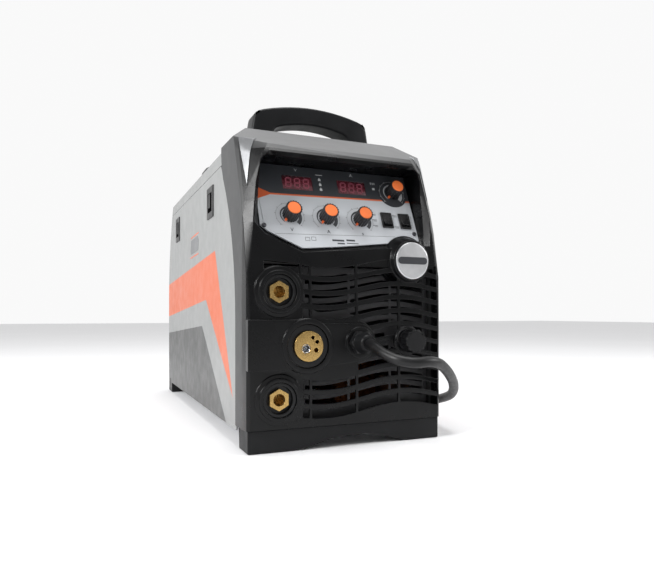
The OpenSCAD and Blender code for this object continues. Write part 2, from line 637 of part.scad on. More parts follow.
// ==== rear ===============================================================================================
SWITCH = [-70, 250];
MAINS = [-70, 110];
GAS = [-95, 200];
rear_t = 4;
rear_top_z = 363.5;
module rear_panel() color([0.12, 0.12, 0.13]) placed() difference() {
    intersection() {
        plate_yz(-half_body + sheet_t + 0.4, half_body - sheet_t - 0.4) polygon(concat(
            [[body_d - rear_t, skirt_h + 0.4], [body_d, skirt_h + 0.4]],
            [for (i = [7:-1:0]) rear_points(0, rear_top_z)[i]], rear_points(-rear_t, rear_top_z)));
        translate([0, 620, 0]) rotate([90, 0, 0]) linear_extrude(200) roof_section(sheet_t + 0.4, 0);
    }
    // fan grille
    for (i = [-4:4]) let (h = sqrt(44 * 44 - pow(i * 10, 2)))
        block([fan_c[0] - h, body_d - 8, fan_c[1] + i * 10 - 3], [fan_c[0] + h, body_d + 3, fan_c[1] + i * 10 + 3]);
    rod_y(MAINS[0], MAINS[1], 10.2, body_d - 8, body_d + 3);
    rod_y(GAS[0], GAS[1], 6.2, body_d - 8, body_d + 3);
    rod_y(SWITCH[0], SWITCH[1], 11.2, body_d - 30, body_d + 3);
    for (side = SIDES, z = [45, 165]) rod_y(side * 108, z, 2.1, body_d - 8, body_d + 3);
}
module rear_skirt() color([0.08, 0.08, 0.09]) placed() difference() {
    block([-half_skirt + 0.2, 550, 0], [half_skirt - 0.2, body_d + 10, skirt_h]);
    block([-half_body + 5, 549, 19.9], [half_body - 3, body_d + 0.4, skirt_h + 1]);
    plate_xz(549, body_d + 11) polygon([[-78, -1], [-78, 0], [-50, 6], [-20, 10], [20, 10], [50, 6],
        [78, 0], [78, -1]]);
}
fan_shaft_r = 1.9;
module fan_frame() color([0.1, 0.1, 0.11]) placed() translate([fan_c[0], fan_y, fan_c[1]]) {
    // motor hub on three struts
    difference() {
        union() {
            rod_y(0, 0, 16, 20.5, 25);
            for (turn = [30, 150, 270]) rotate([0, turn, 0]) block([14, 21, -2.5], [45, 24.8, 2.5]);
        }
        rod_y(0, 0, fan_shaft_r + running, 20, 26);
    }
    plate_xz(0, 25) difference() {
        square([92, 92], center = true);
        circle(43);
        for (i = SIDES, j = SIDES) translate([i * 41, j * 41]) circle(2.2);
    }
}
module fan_rotor() color([0.15, 0.15, 0.16]) placed() translate([fan_c[0], fan_y, fan_c[1]]) union() {
    rod_y(0, 0, 17, 4, 19);
    rod_y(0, 0, fan_shaft_r, 2, 24);
    for (i = [0:6]) rotate([0, i * 360 / 7, 0]) translate([16, 11.5, 0]) rotate([35, 0, 0])
        translate([0, -0.8, -9]) cube([25, 1.6, 18]);
}
module mains_gland() color([0.08, 0.08, 0.09]) placed() translate([MAINS[0], 0, MAINS[1]]) difference() {
    union() {
        rod_y(0, 0, 10, body_d - 12, body_d + 1);
        translate([0, body_d + 0.05, 0]) rotate([-90, 0, 0]) cylinder(r = 15, h = 7, $fn = 6);
        translate([0, body_d + 7, 0]) rotate([-90, 0, 0]) cylinder(r1 = 12.5, r2 = 9, h = rear_most - body_d - 7);
        rod_y(0, 0, 13, body_d - 10, body_d - 4.05);
    }
    rod_y(0, 0, 5, body_d - 14, rear_most + 1);
}
module gas_valve() color([0.7, 0.55, 0.28]) placed() translate([GAS[0], 0, GAS[1]]) difference() {
    union() {
        rod_y(0, 0, 6, body_d - 14, body_d + 2);
        block([-13, body_d - 60, -13], [13, body_d - 14, 13]);
        rod_y(0, 0, 4.5, body_d + 2, body_d + 20);
    }
    rod_y(0, 0, 2.5, body_d - 20, body_d + 21);
}
switch_y = rear_edge(SWITCH[1]);
module mains_switch_body() color([0.1, 0.1, 0.11]) placed() translate([SWITCH[0], 0, SWITCH[1]])
    difference() {
        union() {
            block([-24, switch_y - 50, -24], [24, switch_y - 12, 24]);
            rod_y(0, 0, 11, switch_y - 12, switch_y + 2);
        }
        rod_y(0, 0, 4 + running, switch_y - 40, switch_y + 3);
    }
module mains_switch_knob() color([0.7, 0.1, 0.08]) placed() translate([SWITCH[0], 0, SWITCH[1]]) union() {
    rod_y(0, 0, 4, switch_y - 38, switch_y + 8);
    rod_y(0, 0, 17, switch_y + 7, switch_y + 11);
    block([-4, switch_y + 11, -16], [4, switch_y + 22, 16]);
}

// sheet behind the bezel that carries the sockets, slotted for the cooling air
chassis_y = 20;
module front_chassis() color([0.07, 0.07, 0.08]) placed() difference() {
    block([-116, chassis_y, skirt_h + wall_t + 0.05], [116, chassis_y + sheet_t, 205]);
    for (p = OUTPUTS) rod_y(p[0], p[1], 12, chassis_y - 1, chassis_y + 3);
    rod_y(TORCH[0], TORCH[1], torch_r + 1, chassis_y - 1, chassis_y + 3);
    // air slots half a step above the bezel's
    plate_xz(chassis_y - 1, chassis_y + 3) difference() {
        intersection() {
            translate([0, slot_pitch / 2]) louvres();
            translate([-110, 34]) square([220, 164]);
        }
        translate(TORCH) circle(44);
    }
}

// ==== inside =============================================================================================
module divider() color([0.6, 0.61, 0.62]) placed() difference() {
    block([divider_x, 118, 20 + sheet_t + 0.05], [divider_x + sheet_t, 520, 330]);
    rod_x(spool_y, spool_z, 8.05, divider_x - 1, divider_x + 4);
    rod_x(feed_y, drive_z, 20, divider_x - 1, divider_x + 4);
}
module feeder_plate() color([0.25, 0.26, 0.28]) placed() difference() {
    union() {
        block([-34, feed_y - 58, 72], [-28, feed_y + 62, 172]);
        block([-28, feed_y - 50, 76], [divider_x - 0.05, feed_y - 38, 168]);
        block([-28, feed_y + 46, 76], [divider_x - 0.05, feed_y + 58, 168]);
        // inlet guide block on the wire's line
        block([WIRE[0] - 6, feed_y + 30, WIRE[1] - 8], [-30, feed_y + 58, WIRE[1] + 8]);
    }
    rod_x(feed_y, drive_z, 4 + running, -40, -20);
    rod_y(WIRE[0], WIRE[1], 1.4, feed_y + 20, feed_y + 60);
    rod_x(arm_pivot[0], arm_pivot[1], 4.05, -40, -20);
}
module feeder_motor() color([0.35, 0.36, 0.38]) placed() difference() {
    union() {
        rod_x(feed_y, drive_z, 19, -27.9, 34);
        rod_x(feed_y, drive_z, 16, 34, 46);
    }
    rod_x(feed_y, drive_z, 4 + running, -28, 30);
}
module drive_roll() color([0.7, 0.71, 0.72]) placed() difference() {
    union() {
        rod_x(feed_y, drive_z, drive_r, -63.5, -52);
        rod_x(feed_y, drive_z, 4, -68, 28);
        rod_x(feed_y, drive_z, 8, -70, -63.5);
    }
}
arm_end_z = pressure_z + 22;
module pressure_arm() color([0.2, 0.2, 0.22]) placed() difference() {
    union() {
        rod_x(arm_pivot[0], arm_pivot[1], 4, -44, -27);
        rod_x(arm_pivot[0], arm_pivot[1], 9, -50, -35);
        hull() {
            rod_x(arm_pivot[0], arm_pivot[1], 9, -50, -44);
            rod_x(feed_y, arm_end_z, 8, -50, -44);
        }
        rod_x(feed_y, arm_end_z, 8, -64, -44);
        block([-50, feed_y - 6, pressure_z - 5], [-45, feed_y + 6, arm_end_z]);
        rod_x(feed_y, pressure_z, 3.95, -63, -45);
        // tension knob
        translate([WIRE[0], feed_y, arm_end_z + 4]) cylinder(r = 8, h = 30);
    }
}
module pressure_roll() color([0.72, 0.73, 0.74]) placed() difference() {
    rod_x(feed_y, pressure_z, pressure_r, -62, -53.5);
    rod_x(feed_y, pressure_z, 4, -66, -50);
}
module spool_axle() color([0.6, 0.6, 0.62]) placed() union() {
    rod_x(spool_y, spool_z, 8, -96, divider_x + 3);
    rod_x(spool_y, spool_z, 16, divider_x - 5, divider_x - 0.05);
    rod_x(spool_y, spool_z, 14, divider_x + sheet_t + 0.05, divider_x + 6);
    rod_x(spool_y, spool_z, 12, -104, -96);
}
module spool_hub() color([0.1, 0.1, 0.11]) placed() difference() {
    union() {
        rod_x(spool_y, spool_z, hub_r, -88, -30);
        rod_x(spool_y, spool_z, 34, -30, -24);
        rod_x(spool_y + 29.5, spool_z, 3.5, -36, -29);
    }
    rod_x(spool_y, spool_z, 8 + running, -89, -23);
    rod_x(spool_y, spool_z, 18, -89, -70);
}
module heat_sink() color([0.68, 0.69, 0.7]) placed() union() {
    block([14, 270, 21.6], [112, 430, 30]);
    for (i = [0:13]) block([15 + i * 7.2, 270, 30], [17 + i * 7.2, 430, 96]);
}
module transformer() color([0.55, 0.3, 0.12]) placed() union() {
    block([50, 150, 21.6], [112, 170, 92]);
    block([50, 206, 21.6], [112, 226, 92]);
    block([58, 170, 34], [104, 206, 80]);
}
module main_board() color([0.1, 0.3, 0.18]) placed() union() {
    block([8, 260, 100], [114, 440, 101.6]);
    for (i = [0:3]) translate([32, 290 + i * 38, 101.5]) cylinder(r = 15, h = 45);
    block([60, 285, 101.5], [104, 330, 128]);
    block([60, 350, 101.5], [104, 410, 136]);
    for (x = [12, 110], y = [264, 436]) translate([x, y, 21.5]) cylinder(r = 2.5, h = 79);
}

// ==== drawing ============================================================================================
front_bezel();
front_skirt();
corner_inlays();
control_panel();
meter_displays();
control_board();
case_screws();
voltage_knob();
inductance_knob();
wire_speed_knob();
current_knob();
voltage_knob_cap();
inductance_knob_cap();
wire_speed_knob_cap();
current_knob_cap();
rocker_frames();
trigger_rocker();
process_rocker();
badge();
output_socket_bodies();
output_socket_contacts();
torch_socket_flange();
torch_socket_body();
torch_socket_liner();
lead_gland();
polarity_lead();
lead_plug_sleeve();
lead_plug_pin();
remote_socket();
remote_socket_cap();
cap_tether();
base_pan();
roof_cover();
right_side_panel();
side_door();
front_chassis();
latch_frames();
front_latch();
rear_latch();
front_handle();
rear_handle();
rear_panel();
rear_skirt();
divider();
feeder_plate();
feeder_motor();
drive_roll();
pressure_arm();
pressure_roll();
spool_axle();
spool_hub();
fan_frame();
fan_rotor();
heat_sink();
transformer();
main_board();
gas_valve();
mains_gland();
mains_switch_body();
mains_switch_knob();
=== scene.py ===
import math

import bmesh
import bpy
from mathutils import Matrix, Vector


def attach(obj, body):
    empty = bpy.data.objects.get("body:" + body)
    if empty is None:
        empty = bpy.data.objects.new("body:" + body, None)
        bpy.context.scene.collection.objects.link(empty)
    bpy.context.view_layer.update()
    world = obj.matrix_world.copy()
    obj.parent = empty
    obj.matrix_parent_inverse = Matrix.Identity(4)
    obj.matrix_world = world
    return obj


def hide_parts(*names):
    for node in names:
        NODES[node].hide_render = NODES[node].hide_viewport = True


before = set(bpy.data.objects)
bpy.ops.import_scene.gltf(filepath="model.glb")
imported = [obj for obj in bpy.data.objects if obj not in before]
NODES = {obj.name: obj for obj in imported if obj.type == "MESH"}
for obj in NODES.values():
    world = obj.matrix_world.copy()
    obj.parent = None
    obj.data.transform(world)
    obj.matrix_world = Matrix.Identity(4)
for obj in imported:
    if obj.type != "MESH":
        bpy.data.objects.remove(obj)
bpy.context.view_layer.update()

# the part's own figures, in millimetres: y is 0 on the skirt's front face, z is 0 on the floor
MID_Y = 286.0
TILT = math.radians(24)
UP = Vector((0, math.sin(TILT), math.cos(TILT)))      # up the panel
OUT = Vector((0, -math.cos(TILT), math.sin(TILT)))    # out of the panel
PANEL = Vector((0, 17, 249))
BADGE_X, BADGE_Z = 79.6, 214
LEAD_EXIT = (8.5, -34, 118.5)
LEAD_WIDTH = 0.0115
DOOR_FACE = 121.5      # distance of the side sheets' outer faces from the middle
FLANK = 0.1195         # metres from the middle where the bezel's rougher flanks begin, painted dark grey as a painted sheen
FLANK_FRONT = -0.272   # and how far forward they come, in the row frame
# above this height the up-facing hood top is painted lighter grey, a painted sheen
HOOD_LOW = 0.336
KNOBS = {"voltage_knob": (-64, 15), "inductance_knob": (-19, 15), "wire_speed_knob": (25, 15),
         "current_knob": (78, 58.5)}


def row(x, y, z):
    return Vector((x / 1000, (y - MID_Y) / 1000, z / 1000))


def on_panel(x, v, w):
    p = PANEL + Vector((x, 0, 0)) + UP * v + OUT * w
    return row(p.x, p.y, p.z)


# ---- camera -----------------------------------------------------------------------------------------
camera = bpy.data.objects.new("camera", bpy.data.cameras.new("camera"))
bpy.context.collection.objects.link(camera)
camera.location = (-0.2857, -0.8933, 0.1509)
camera.rotation_euler = (math.radians(90), 0, math.radians(-23))
camera.data.lens, camera.data.sensor_width = 32.2, 36
camera.data.shift_y = 0.041
camera.data.clip_start, camera.data.clip_end = 0.01, 50
bpy.context.scene.camera = camera


# ---- making pieces ----------------------------------------------------------------------------------
def link(name, data, body, material):
    o = bpy.data.objects.new(name, data)
    bpy.context.collection.objects.link(o)
    if material:
        data.materials.append(material)
    if body:
        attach(o, body)
    return o


def smooth_line(points, steps):
    """Catmull-Rom line through the points."""
    p = [Vector(q) for q in points]
    p = [p[0] * 2 - p[1]] + p + [p[-1] * 2 - p[-2]]
    line = []
    for i in range(1, len(p) - 2):
        for k in range(steps):
            t = k / steps
            a, b, c, d = p[i - 1], p[i], p[i + 1], p[i + 2]
            line.append(0.5 * ((2 * b) + (c - a) * t + (2 * a - 5 * b + 4 * c - d) * t * t
                               + (3 * b - a - 3 * c + d) * t ** 3))
    return line + [p[-2]]


# ---- materials --------------------------------------------------------------------------------------
class Paint:
    """A node material being made."""

    def __init__(self, name, **sockets):
        self.mat = bpy.data.materials.new(name)
        self.mat.use_nodes = True
        self.tree = self.mat.node_tree
        self.tree.nodes.clear()
        out = self.add("ShaderNodeOutputMaterial")
        self.shader = self.add("ShaderNodeBsdfPrincipled")
        self.tree.links.new(self.shader.outputs[0], out.inputs[0])
        self.where = self.add("ShaderNodeTexCoord").outputs["Object"]
        for key, value in sockets.items():
            self.shader.inputs[key.replace("_", " ")].default_value = value

    def add(self, kind, **settings):
        n = self.tree.nodes.new(kind)
        for key, value in settings.items():
            setattr(n, key, value)
        return n

    def put(self, socket, value):
        if isinstance(value, bpy.types.NodeSocket):
            self.tree.links.new(value, socket)
        else:
            socket.default_value = value
        return socket

    def to(self, name, value):
        self.put(self.shader.inputs[name], value)

    def math(self, op, a, b=0.0):
        n = self.add("ShaderNodeMath", operation=op)
        self.put(n.inputs[0], a)
        self.put(n.inputs[1], b)
        return n.outputs[0]

    def dot(self, direction):
        n = self.add("ShaderNodeVectorMath", operation="DOT_PRODUCT")
        self.put(n.inputs[0], self.where)
        n.inputs[1].default_value = direction
        return n.outputs["Value"]

    def split(self, vector):
        n = self.add("ShaderNodeSeparateXYZ")
        self.put(n.inputs[0], vector)
        return n.outputs

    def facing(self):
        """The surface's own direction."""
        return self.split(self.add("ShaderNodeTexCoord").outputs["Normal"])

    def stretched(self, scale):
        n = self.add("ShaderNodeVectorMath", operation="MULTIPLY")
        self.put(n.inputs[0], self.where)
        n.inputs[1].default_value = scale
        return n.outputs[0]

    def noise(self, scale, detail=2.0, at=None):
        n = self.add("ShaderNodeTexNoise")
        self.put(n.inputs["Vector"], at or self.where)
        n.inputs["Scale"].default_value = scale
        n.inputs["Detail"].default_value = detail
        return n.outputs["Fac"]

    def ramp(self, value, low, high, a, b):
        n = self.add("ShaderNodeMapRange")
        self.put(n.inputs["Value"], value)
        for key, v in (("From Min", low), ("From Max", high), ("To Min", a), ("To Max", b)):
            n.inputs[key].default_value = v
        return n.outputs[0]

    def mix(self, mask, a, b):
        n = self.add("ShaderNodeMix", data_type="RGBA")
        self.put(n.inputs["Factor"], mask)
        self.put(n.inputs["A"], a if isinstance(a, bpy.types.NodeSocket) else (*a, 1))
        self.put(n.inputs["B"], b if isinstance(b, bpy.types.NodeSocket) else (*b, 1))
        return n.outputs["Result"]

    def bump(self, height, depth, strength=1.0):
        n = self.add("ShaderNodeBump")
        n.inputs["Strength"].default_value = strength
        n.inputs["Distance"].default_value = depth
        self.put(n.inputs["Height"], height)
        self.to("Normal", n.outputs[0])

    def worn_and_highlit_edges(self, amount):
        """1 on sharp outer edges, broken up by noise."""
        # the edge lightening this drives is partly abrasion and partly a painted highlight
        edge = self.ramp(self.add("ShaderNodeNewGeometry").outputs["Pointiness"], 0.53, 0.62, 0, amount)
        return self.math("MULTIPLY", edge, self.ramp(self.noise(90, 4), 0.4, 0.65, 0.25, 1))


def moulded(name, colour, rough, grain=1600, depth=0.00012, wear_and_highlight=0.35, specular=0.4):
    """Moulded plastic: spark-eroded grain, faint blotches, and sharp edges lighter, partly from abrasion and
    partly a painted highlight.
    """
    p = Paint(name, Specular_IOR_Level=specular)
    blotch = p.ramp(p.noise(14, 3), 0.3, 0.7, 0, 1)
    base = p.mix(blotch, [c * 0.86 for c in colour], [c * 1.14 for c in colour])
    # sharp edges lightened: partly abrasion, partly a painted highlight
    rubbed_and_highlit = [min(1, c * 2.2 + 0.03) for c in colour]
    p.to("Base Color", p.mix(p.worn_and_highlit_edges(wear_and_highlight), base, rubbed_and_highlit))
    p.to("Roughness", p.ramp(p.noise(40, 4), 0.3, 0.7, rough - 0.06, rough + 0.07))
    p.bump(p.noise(grain, 2), depth, 0.5)
    return p.mat


def bezel_plastic():
    """Satin black moulding. Its outer flanks are painted dark grey and its up-facing hood top lighter grey, a
    painted sheen chosen by facing, and both are rougher.
    """
    p = Paint("bezel_plastic", Specular_IOR_Level=0.24)
    spot, face = p.split(p.where), p.facing()
    # masks for the painted sheen: flanks that face sideways, and the hood top that faces up
    out = p.math("MULTIPLY", p.ramp(p.math("ABSOLUTE", face["X"]), 0.6, 0.95, 0, 1),
                 p.math("GREATER_THAN", p.math("ABSOLUTE", spot["X"]), FLANK))
    out = p.math("MULTIPLY", out, p.math("GREATER_THAN", spot["Y"], FLANK_FRONT))
    top = p.math("MULTIPLY", p.ramp(face["Z"], 0.3, 0.8, 0, 1),
                 p.math("GREATER_THAN", spot["Z"], HOOD_LOW))
    blotch = p.ramp(p.noise(14, 3), 0.3, 0.7, 0, 1)
    black = p.mix(blotch, (0.0014, 0.0015, 0.0018), (0.0026, 0.0027, 0.0031))
    # painted sheen: sideways flanks painted dark grey, the up-facing hood top painted lighter grey
    colour = p.mix(out, black, (0.066, 0.067, 0.068))
    colour = p.mix(top, colour, (0.150, 0.151, 0.153))
    # sharp edges painted lighter: a painted highlight, partly abrasion
    p.to("Base Color", p.mix(p.worn_and_highlit_edges(0.22), colour, (0.05, 0.05, 0.053)))
    coarse = p.math("MULTIPLY", p.math("MAXIMUM", out, top), 0.26)
    p.to("Roughness", p.math("ADD", p.ramp(p.noise(40, 4), 0.3, 0.7, 0.25, 0.33), coarse))
    p.bump(p.noise(1600, 2), 0.00006, 0.5)
    return p.mat


def metal(name, colour, rough, along=(1, 1, 1), scale=900, depth=0.00004, blotch=0.12):
    """Metal with a drawn or brushed grain along the axis whose factor is small."""
    p = Paint(name, Metallic=1.0)
    tone = p.ramp(p.noise(35, 4), 0.3, 0.7, 0, 1)
    dull, bright = [c * (1 - blotch) for c in colour], [min(1, c * (1 + blotch)) for c in colour]
    p.to("Base Color", p.mix(tone, dull, bright))
    lines = p.noise(scale, 3, p.stretched(along))
    p.to("Roughness", p.ramp(lines, 0.3, 0.7, rough - 0.07, rough + 0.1))
    p.bump(lines, depth, 0.6)
    return p.mat


def painted(p, colour, rough=0.4):
    """Powder coat: a fine orange-peel surface over the colour or colour socket."""
    soft = p.ramp(p.noise(9, 3), 0.3, 0.7, 0.0, 0.04)
    p.to("Base Color", p.mix(soft, colour, (0.7, 0.7, 0.71)))
    p.to("Roughness", p.ramp(p.noise(60, 3), 0.3, 0.7, rough - 0.05, rough + 0.06))
    p.bump(p.noise(1300, 2), 0.00008, 0.5)
    return p.mat


CHARCOAL = (0.0062, 0.0065, 0.0073)
PAINT = (0.27, 0.277, 0.275)
ORANGE = (0.60, 0.125, 0.045)


def under(p, mask_edges):
    """1 where the point is below every line ((y1, z1), (y2, z2)) of the side view."""
    mask = None
    for (y1, z1), (y2, z2) in mask_edges:
        slope = (z2 - z1) / (y2 - y1)
        side = p.math("LESS_THAN", p.dot((0, -slope, 1)), (z1 - slope * (y1 - MID_Y)) / 1000)
        mask = side if mask is None else p.math("MULTIPLY", mask, side)
    return mask


def side_paint(name):
    """The silver side with its orange chevron over a dark grey field."""
    p = Paint(name, Metallic=0.25)
    outer = under(p, [((589, 207), (155, 233.5)), ((59, 53.5), (159, 241))])
    inner = under(p, [((589, 145), (214, 170.5)), ((59, 53.5), (159, 129))])
    field = under(p, [((589, 113), (242, 133.5)), ((94, 21), (194, 97))])
    colour = p.mix(outer, PAINT, ORANGE)
    colour = p.mix(inner, colour, PAINT)
    colour = p.mix(field, colour, (0.060, 0.062, 0.061))
    spot, face = p.split(p.where), p.facing()
    inside = p.math("LESS_THAN", p.math("MULTIPLY", spot["X"], face["X"]), -0.02)
    colour = p.mix(inside, colour, (0.030, 0.031, 0.032))
    return painted(p, colour)


def panel_paint():
    """The printed overlay of the control panel: dark above a rising line, silver white below."""
    p = Paint("panel_overlay")
    rise = (47.6 - 43) / 203
    v = p.math("SUBTRACT", p.dot((-rise, UP.y, UP.z)),
               ((17 - MID_Y) * UP.y + 249 * UP.z) / 1000)
    low = (43 + 101.5 * rise) / 1000
    upper = p.math("GREATER_THAN", v, low + 0.0011)
    line = p.math("GREATER_THAN", v, low - 0.0011)
    sheen = p.mix(p.noise(3, 1), (0.44, 0.46, 0.485), (0.53, 0.55, 0.575))
    p.to("Base Color", p.mix(upper, p.mix(line, sheen, ORANGE), (0.034, 0.037, 0.042)))
    p.to("Roughness", p.ramp(p.noise(80, 3), 0.3, 0.7, 0.32, 0.42))
    p.bump(p.noise(2400, 2), 0.00004, 0.4)
    return p.mat


def glass_red():
    p = Paint("display_window", Coat_Weight=0.6, Coat_Roughness=0.08)
    cloud = p.ramp(p.noise(60, 2), 0.3, 0.7, 0, 1)
    p.to("Base Color", p.mix(cloud, (0.085, 0.014, 0.022), (0.12, 0.022, 0.032)))
    p.to("Roughness", p.ramp(p.noise(300, 2), 0.3, 0.7, 0.2, 0.32))
    return p.mat


def spun_badge():
    """Spun silver: fine rings about the badge's centre."""
    p = Paint("spun_silver", Metallic=1.0)
    shift = p.add("ShaderNodeVectorMath", operation="SUBTRACT")
    p.put(shift.inputs[0], p.where)
    shift.inputs[1].default_value = row(BADGE_X, 0, BADGE_Z)
    flat = p.add("ShaderNodeVectorMath", operation="MULTIPLY")
    p.put(flat.inputs[0], shift.outputs[0])
    flat.inputs[1].default_value = (1, 0, 1)
    far = p.add("ShaderNodeVectorMath", operation="LENGTH")
    p.put(far.inputs[0], flat.outputs[0])
    rings = p.math("SINE", p.math("MULTIPLY", far.outputs["Value"], 9000))
    p.to("Base Color", p.mix(p.noise(120, 4), (0.50, 0.51, 0.52), (0.68, 0.68, 0.69)))
    p.to("Roughness", p.ramp(p.noise(500, 3), 0.3, 0.7, 0.3, 0.45))
    p.bump(rings, 0.00003, 0.5)
    return p.mat


def board():
    """Green solder mask with faint copper tracks under it."""
    p = Paint("solder_mask", Coat_Weight=0.3)
    bricks = p.add("ShaderNodeTexBrick")
    p.put(bricks.inputs["Vector"], p.stretched((1, 0.6, 1)))
    for key, v in (("Scale", 60), ("Mortar Size", 0.012), ("Brick Width", 0.7), ("Row Height", 0.22)):
        bricks.inputs[key].default_value = v
    tracks = p.math("MULTIPLY", bricks.outputs["Fac"], p.ramp(p.noise(30, 2), 0.4, 0.6, 0.2, 1))
    p.to("Base Color", p.mix(tracks, (0.012, 0.085, 0.038), (0.05, 0.2, 0.09)))
    p.to("Roughness", p.ramp(p.noise(90, 2), 0.3, 0.7, 0.3, 0.45))
    p.bump(bricks.outputs["Fac"], 0.00005, 0.6)
    return p.mat


def rubber(name, colour=(0.0035, 0.0035, 0.004)):
    p = Paint(name, Specular_IOR_Level=0.35)
    dust = p.ramp(p.noise(55, 5), 0.45, 0.75, 0, 0.3)
    p.to("Base Color", p.mix(dust, colour, (0.012, 0.012, 0.012)))
    p.to("Roughness", p.ramp(p.noise(200, 3), 0.3, 0.7, 0.34, 0.48))
    p.bump(p.noise(1500, 3), 0.00012, 0.6)
    return p.mat


def copper():
    """Enamelled windings: fine turns round the core, each turn painted dark in its groove and bright on its
    crown, painted shade and highlight.
    """
    p = Paint("enamelled_copper", Metallic=0.9)
    turns = p.math("SINE", p.math("MULTIPLY", p.dot((0, 0.35, 1)), 3800))
    # painted shade and highlight: dark copper between turns, bright copper on each turn's crown
    p.to("Base Color", p.mix(p.ramp(turns, -1, 1, 0, 1), (0.20, 0.055, 0.018), (0.62, 0.24, 0.09)))
    p.to("Roughness", p.ramp(p.noise(200, 2), 0.3, 0.7, 0.25, 0.4))
    p.bump(turns, 0.0003, 0.8)
    return p.mat


PLASTIC = moulded("charcoal_moulding", CHARCOAL, 0.42, specular=0.22)
FITTING = moulded("black_fitting", (0.0050, 0.0052, 0.0058), 0.36, grain=2200, depth=0.00008, specular=0.28)
KNOB = moulded("knob_black", (0.010, 0.010, 0.011), 0.36, grain=2600, depth=0.00006)
GLOSS = moulded("rocker_black", (0.008, 0.008, 0.009), 0.24, grain=3000, depth=0.00003)
CAP = moulded("knob_orange", (0.72, 0.155, 0.035), 0.42, grain=2600, depth=0.00005, wear_and_highlight=0.1)
PRINT_DARK = moulded("print_dark", (0.035, 0.037, 0.042), 0.42, grain=3000, depth=0.00002, wear_and_highlight=0)
PRINT_GREY = moulded("print_grey", (0.16, 0.165, 0.17), 0.45, grain=3000, depth=0.00002, wear_and_highlight=0)
PRINT_WHITE = moulded("print_white", (0.55, 0.56, 0.57), 0.45, grain=3000, depth=0.00002, wear_and_highlight=0)
PRINT_ORANGE = moulded("print_orange", (0.62, 0.11, 0.03), 0.42, grain=3000, depth=0.00002, wear_and_highlight=0)
SEGMENT = moulded("display_segment", (0.30, 0.075, 0.105), 0.35, grain=3000, depth=0.00001, wear_and_highlight=0)
SILVER = metal("inlay_silver", (0.21, 0.214, 0.22), 0.40, along=(1, 1, 0.06), scale=1400)
BRASS = metal("brass", (0.43, 0.285, 0.105), 0.26, along=(1, 0.2, 1), scale=700)
STEEL = metal("bright_steel", (0.62, 0.63, 0.65), 0.26, along=(1, 0.2, 1), scale=900)
ZINC = metal("zinc_sheet", (0.50, 0.51, 0.53), 0.38, along=(1, 0.15, 1), scale=500, blotch=0.07)
SCREW = metal("blackened_steel", (0.10, 0.10, 0.11), 0.34, scale=900)
ALLOY = metal("extruded_alloy", (0.58, 0.59, 0.61), 0.34, along=(1, 0.04, 1), scale=900)
CAST = metal("cast_housing", (0.17, 0.175, 0.185), 0.46, scale=260, depth=0.0002)
LINER = metal("liner_silver", (0.70, 0.71, 0.73), 0.22, along=(1, 0.2, 1), scale=900)
BLACK_SHEET = painted(Paint("black_sheet"), (0.018, 0.018, 0.02), 0.5)
BODY = painted(Paint("body_paint", Metallic=0.25), PAINT)
LEAD_RUBBER = rubber("lead_rubber")
RED = moulded("switch_red", (0.42, 0.022, 0.016), 0.34, grain=2400, depth=0.00006, wear_and_highlight=0.15)

DRESS = {
    bezel_plastic(): ["front_bezel"],
    PLASTIC: ["front_skirt", "rear_skirt", "front_handle", "rear_handle", "rear_panel"],
    FITTING: ["latch_frames", "front_latch", "rear_latch", "torch_socket_flange", "output_socket_bodies",
              "lead_gland", "remote_socket", "remote_socket_cap", "mains_gland", "lead_plug_sleeve",
              "fan_frame", "fan_rotor", "spool_hub", "mains_switch_body"],
    KNOB: ["voltage_knob", "inductance_knob", "wire_speed_knob", "current_knob"],
    GLOSS: ["rocker_frames", "trigger_rocker", "process_rocker"],
    CAP: ["voltage_knob_cap", "inductance_knob_cap", "wire_speed_knob_cap", "current_knob_cap"],
    panel_paint(): ["control_panel"],
    glass_red(): ["meter_displays"],
    spun_badge(): ["badge"],
    SILVER: ["corner_inlays"],
    BRASS: ["output_socket_contacts", "torch_socket_body", "lead_plug_pin", "gas_valve"],
    LINER: ["torch_socket_liner"],
    STEEL: ["drive_roll", "pressure_roll", "spool_axle"],
    ZINC: ["divider", "base_pan"],
    SCREW: ["case_screws"],
    BLACK_SHEET: ["front_chassis"],
    BODY: ["roof_cover"],
    side_paint("side_paint"): ["side_door", "right_side_panel"],
    CAST: ["feeder_motor", "feeder_plate", "pressure_arm"],
    ALLOY: ["heat_sink"],
    copper(): ["transformer"],
    board(): ["control_board", "main_board"],
    rubber("tether_rubber"): ["cap_tether"],
    RED: ["mains_switch_knob"],
}
for material, names in DRESS.items():
    for name in names:
        mesh = NODES[name].data
        mesh.materials.clear()
        mesh.materials.append(material)

# small rounded edges on the CAD solids: node, radius in mm
ROUND = {
    "front_bezel": 0.7, "front_skirt": 1.2, "rear_skirt": 1.2, "front_handle": 3.2, "rear_handle": 3.2,
    "corner_inlays": 0.2, "roof_cover": 0.35, "side_door": 0.35, "latch_frames": 0.35,
    "front_latch": 0.5, "rear_latch": 0.5, "rocker_frames": 0.4, "trigger_rocker": 0.5,
    "process_rocker": 0.5, "badge": 0.3, "output_socket_bodies": 0.5, "torch_socket_flange": 0.6,
    "torch_socket_body": 0.4, "output_socket_contacts": 0.3, "lead_gland": 0.5, "remote_socket": 0.4,
    "remote_socket_cap": 0.9, "mains_gland": 0.5, "lead_plug_sleeve": 0.5, "lead_plug_pin": 0.4,
    "mains_switch_knob": 0.6, "feeder_plate": 0.5, "pressure_arm": 0.6, "feeder_motor": 0.5,
    "spool_hub": 0.6, "voltage_knob_cap": 0.3, "inductance_knob_cap": 0.3, "wire_speed_knob_cap": 0.3,
    "current_knob_cap": 0.3, "control_panel": 0.2,
}
